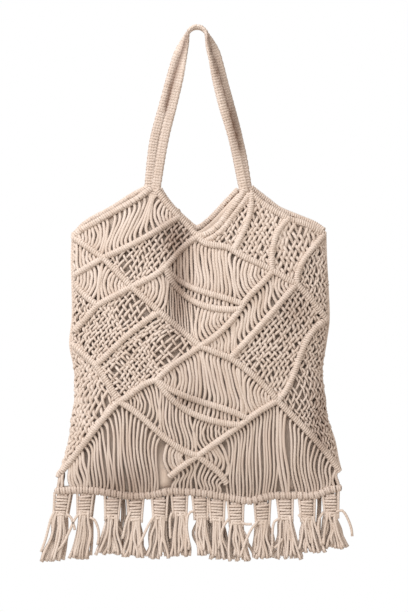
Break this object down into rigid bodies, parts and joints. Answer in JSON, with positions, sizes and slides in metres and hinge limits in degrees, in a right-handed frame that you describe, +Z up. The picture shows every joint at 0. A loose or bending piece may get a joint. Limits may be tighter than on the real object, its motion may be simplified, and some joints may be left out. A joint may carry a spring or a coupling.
{
  "type": "macrame tote bag",
  "caption": "Hanging macrame tote of natural cotton cord: knotted panels with raised diagonal rows and netting, V neck, two strap handles, plain lining and a tasselled hem",
  "frame": {"origin": "under the crown of the handles, where the bag hangs, midway between the two bands", "axes": "+Z up; +X to the right as seen from the front; the front panel faces -Y"},
  "size_m": [0.3896, 0.0862, 0.6827],
  "materials": {
    "cotton_cord": "matte natural cotton cord, twisted and knotted",
    "lining_cloth": "matte plain woven cotton"
  },
  "bodies": {
    "root": {"front_panel": "cotton_cord", "front_rim_left": "cotton_cord", "front_rim_neck": "cotton_cord", "front_rim_right": "cotton_cord", "front_base_row": "cotton_cord", "front_handle": "cotton_cord", "front_tassel_01": "cotton_cord", "front_tassel_02": "cotton_cord", "front_tassel_03": "cotton_cord", "front_tassel_04": "cotton_cord", "front_tassel_05": "cotton_cord", "front_tassel_06": "cotton_cord", "front_tassel_07": "cotton_cord", "front_tassel_08": "cotton_cord", "front_tassel_09": "cotton_cord", "front_tassel_10": "cotton_cord", "front_tassel_11": "cotton_cord", "front_tassel_12": "cotton_cord", "front_tassel_13": "cotton_cord", "back_panel": "cotton_cord", "back_rim_left": "cotton_cord", "back_rim_neck": "cotton_cord", "back_rim_right": "cotton_cord", "back_base_row": "cotton_cord", "back_handle": "cotton_cord", "back_tassel_01": "cotton_cord", "back_tassel_02": "cotton_cord", "back_tassel_03": "cotton_cord", "back_tassel_04": "cotton_cord", "back_tassel_05": "cotton_cord", "back_tassel_06": "cotton_cord", "back_tassel_07": "cotton_cord", "back_tassel_08": "cotton_cord", "back_tassel_09": "cotton_cord", "back_tassel_10": "cotton_cord", "back_tassel_11": "cotton_cord", "back_tassel_12": "cotton_cord", "back_tassel_13": "cotton_cord", "lining": "lining_cloth"}
  },
  "joints": []
}
